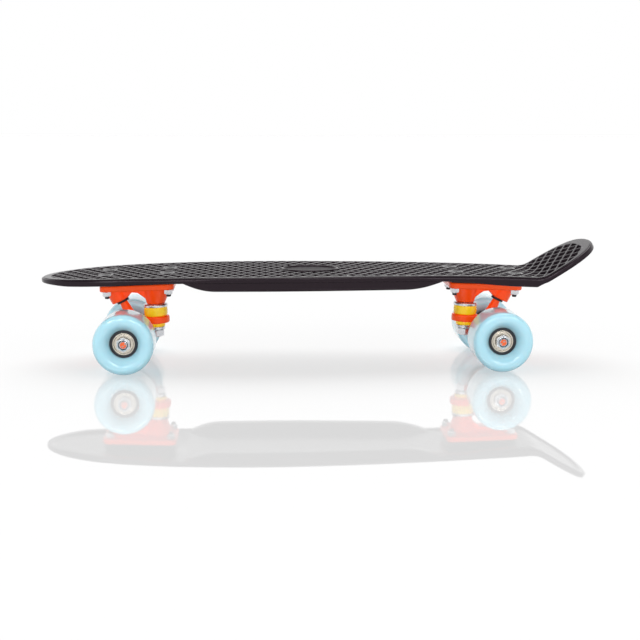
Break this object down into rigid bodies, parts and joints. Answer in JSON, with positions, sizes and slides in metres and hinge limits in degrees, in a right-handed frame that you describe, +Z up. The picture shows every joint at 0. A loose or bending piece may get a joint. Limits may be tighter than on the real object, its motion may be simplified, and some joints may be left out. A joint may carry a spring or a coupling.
{
  "type": "plastic skateboard",
  "caption": "Small moulded-plastic cruiser skateboard: waffle-top deck with a kicktail, steering trucks with urethane bushings, and soft wheels on ball bearings.",
  "frame": {"origin": "middle of the overall length and width, on the ground that the wheels stand on", "axes": "+Z up from the ground; +X along the board towards the kicktail, so the nose points to -X; +Y to the right of a rider who faces the nose"},
  "size_m": [0.5574, 0.15, 0.1207],
  "materials": {
    "deck_plastic": "black moulded plastic with a satin sheen, waffle ribs on top",
    "truck_paint": "glossy orange-red powder coat on cast aluminium",
    "zinc_steel": "bright zinc-plated steel",
    "bearing_steel": "polished bearing steel with a faint golden tint",
    "black_steel": "blackened steel, satin",
    "bushing_urethane": "soft cast urethane, amber yellow",
    "cup_rubber": "black moulded rubber, dull",
    "wheel_urethane": "light blue cast urethane, smooth with a faint gloss",
    "core_plastic": "black moulded core, satin"
  },
  "bodies": {
    "board": {"deck": "deck_plastic", "baseplate_front": "truck_paint", "kingpin_front": "zinc_steel", "kingpin_nut_front": "zinc_steel", "pivot_cup_front": "cup_rubber", "upper_bushing_front": "bushing_urethane", "lower_bushing_front": "bushing_urethane", "upper_washer_front": "zinc_steel", "lower_washer_front": "zinc_steel", "deck_bolt_front_inner_left": "black_steel", "deck_nut_front_inner_left": "zinc_steel", "deck_bolt_front_inner_right": "black_steel", "deck_nut_front_inner_right": "zinc_steel", "deck_bolt_front_outer_left": "black_steel", "deck_nut_front_outer_left": "zinc_steel", "deck_bolt_front_outer_right": "black_steel", "deck_nut_front_outer_right": "zinc_steel", "baseplate_rear": "truck_paint", "kingpin_rear": "zinc_steel", "kingpin_nut_rear": "zinc_steel", "pivot_cup_rear": "cup_rubber", "upper_bushing_rear": "bushing_urethane", "lower_bushing_rear": "bushing_urethane", "upper_washer_rear": "zinc_steel", "lower_washer_rear": "zinc_steel", "deck_bolt_rear_inner_left": "black_steel", "deck_nut_rear_inner_left": "zinc_steel", "deck_bolt_rear_inner_right": "black_steel", "deck_nut_rear_inner_right": "zinc_steel", "deck_bolt_rear_outer_left": "black_steel", "deck_nut_rear_outer_left": "zinc_steel", "deck_bolt_rear_outer_right": "black_steel", "deck_nut_rear_outer_right": "zinc_steel"},
    "hanger_front": {"hanger_front": "truck_paint", "axle_front": "truck_paint", "axle_nut_front_left": "zinc_steel", "axle_nut_front_right": "zinc_steel"},
    "wheel_front_left": {"wheel_front_left": "wheel_urethane", "wheel_core_front_left": "core_plastic", "outer_bearing_front_left": "bearing_steel", "inner_bearing_front_left": "bearing_steel"},
    "wheel_front_right": {"wheel_front_right": "wheel_urethane", "wheel_core_front_right": "core_plastic", "outer_bearing_front_right": "bearing_steel", "inner_bearing_front_right": "bearing_steel"},
    "hanger_rear": {"hanger_rear": "truck_paint", "axle_rear": "truck_paint", "axle_nut_rear_left": "zinc_steel", "axle_nut_rear_right": "zinc_steel"},
    "wheel_rear_left": {"wheel_rear_left": "wheel_urethane", "wheel_core_rear_left": "core_plastic", "outer_bearing_rear_left": "bearing_steel", "inner_bearing_rear_left": "bearing_steel"},
    "wheel_rear_right": {"wheel_rear_right": "wheel_urethane", "wheel_core_rear_right": "core_plastic", "outer_bearing_rear_right": "bearing_steel", "inner_bearing_rear_right": "bearing_steel"}
  },
  "joints": [
    {"name": "front_steer", "type": "hinge", "parent": "board", "child": "hanger_front", "pos_m": [-0.19996, 0, 0.06517], "axis": [-0.8479, 0, 0.5301], "range_deg": [-15, 15], "stiffness_Nm_per_rad": 20, "deforming": ["upper_bushing_front", "lower_bushing_front"]},
    {"name": "front_left_wheel_spin", "type": "hinge", "parent": "hanger_front", "child": "wheel_front_left", "pos_m": [-0.19244, -0.0525, 0.0295], "axis": [0, 1, 0], "continuous": true},
    {"name": "front_right_wheel_spin", "type": "hinge", "parent": "hanger_front", "child": "wheel_front_right", "pos_m": [-0.19244, 0.0525, 0.0295], "axis": [0, 1, 0], "continuous": true},
    {"name": "rear_steer", "type": "hinge", "parent": "board", "child": "hanger_rear", "pos_m": [0.18508, 0, 0.06517], "axis": [0.8479, 0, 0.5301], "range_deg": [-15, 15], "stiffness_Nm_per_rad": 20, "deforming": ["upper_bushing_rear", "lower_bushing_rear"]},
    {"name": "rear_left_wheel_spin", "type": "hinge", "parent": "hanger_rear", "child": "wheel_rear_left", "pos_m": [0.17756, -0.0525, 0.0295], "axis": [0, 1, 0], "continuous": true},
    {"name": "rear_right_wheel_spin", "type": "hinge", "parent": "hanger_rear", "child": "wheel_rear_right", "pos_m": [0.17756, 0.0525, 0.0295], "axis": [0, 1, 0], "continuous": true}
  ]
}
